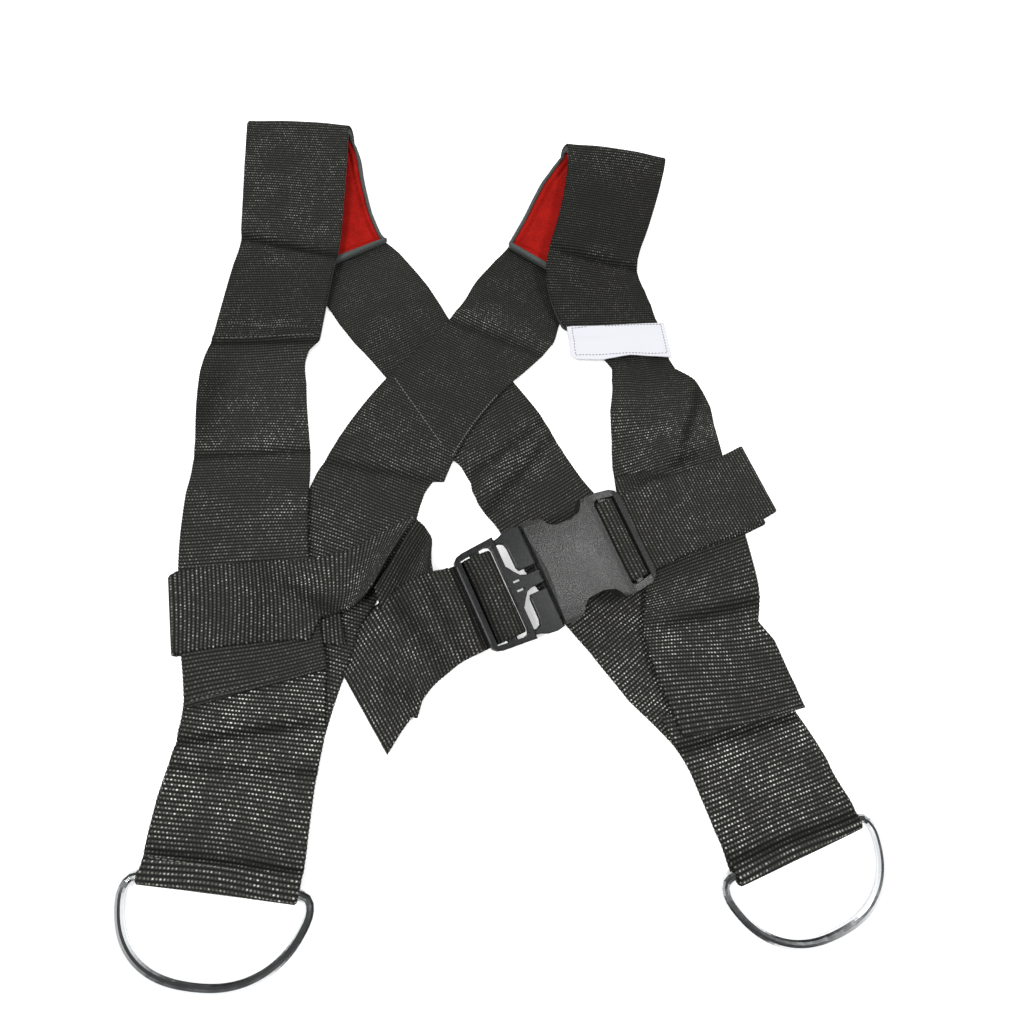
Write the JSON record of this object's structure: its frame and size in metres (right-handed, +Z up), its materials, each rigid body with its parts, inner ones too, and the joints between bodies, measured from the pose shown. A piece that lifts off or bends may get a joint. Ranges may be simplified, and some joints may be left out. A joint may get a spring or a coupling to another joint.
{
  "type": "sled harness",
  "caption": "Shoulder harness for pulling a sled: crossed wide webbing straps with lined shoulder pads, a belt with a side-release buckle, and a D-ring at the end of each leg strap.",
  "frame": {"origin": "centre of the bounding box at floor height, as the harness lies flat", "axes": "+X to the right as it lies (the socket's side), +Y from the rings to the shoulders, +Z up off the floor"},
  "size_m": [0.3988, 0.6174, 0.0514],
  "materials": {
    "webbing": "woven",
    "felt": "felted",
    "tape": "woven",
    "acetal": "fine grain",
    "chrome": "polished",
    "label": "satin weave"
  },
  "bodies": {
    "harness": {"left_shoulder_strap": "webbing", "left_pad_lining": "felt", "left_pad_binding": "tape", "right_shoulder_strap": "webbing", "right_pad_lining": "felt", "right_pad_binding": "tape", "left_front_strap": "webbing", "right_front_strap": "webbing", "left_to_right_back_strap": "webbing", "right_to_left_back_strap": "webbing", "left_ring_loop": "webbing", "right_ring_loop": "webbing", "buckle_socket": "acetal", "left_belt_loop": "webbing", "right_belt_loop": "webbing", "left_belt_run": "webbing", "left_belt_tail": "webbing", "right_belt_tail": "webbing", "right_belt_wrap": "webbing", "pad_label": "label"},
    "plug": {"buckle_plug": "acetal", "left_belt_wrap": "webbing"},
    "upper_arm": {"upper_release_arm": "acetal"},
    "lower_arm": {"lower_release_arm": "acetal"},
    "left_ring": {"left_ring": "chrome"},
    "right_ring": {"right_ring": "chrome"}
  },
  "joints": [
    {"name": "left_ring_swing", "type": "hinge", "parent": "harness", "child": "left_ring", "pos_m": [-0.14235, -0.2569, 0.00489], "axis": [-0.981, 0.1942, 0], "range_deg": [0, 150]},
    {"name": "right_ring_swing", "type": "hinge", "parent": "harness", "child": "right_ring", "pos_m": [0.15045, -0.2635, 0.00489], "axis": [-0.9598, -0.2807, 0], "range_deg": [0, 150]},
    {"name": "buckle_pull", "type": "slide", "parent": "harness", "child": "plug", "axis": [-0.9239, -0.3827, 0], "range_m": [0, 0.035], "deforming": ["left_belt_run", "left_belt_tail"]},
    {"name": "upper_arm_press", "type": "hinge", "parent": "plug", "child": "upper_arm", "pos_m": [0.00226, -0.08927, 0.03014], "axis": [-0.1119, 0.2701, -0.9563], "range_deg": [0, 4], "stiffness_Nm_per_rad": 0.3},
    {"name": "lower_arm_press", "type": "hinge", "parent": "plug", "child": "lower_arm", "pos_m": [0.02342, -0.14034, 0.01324], "axis": [0.1119, -0.2701, 0.9563], "range_deg": [0, 4], "stiffness_Nm_per_rad": 0.3}
  ]
}
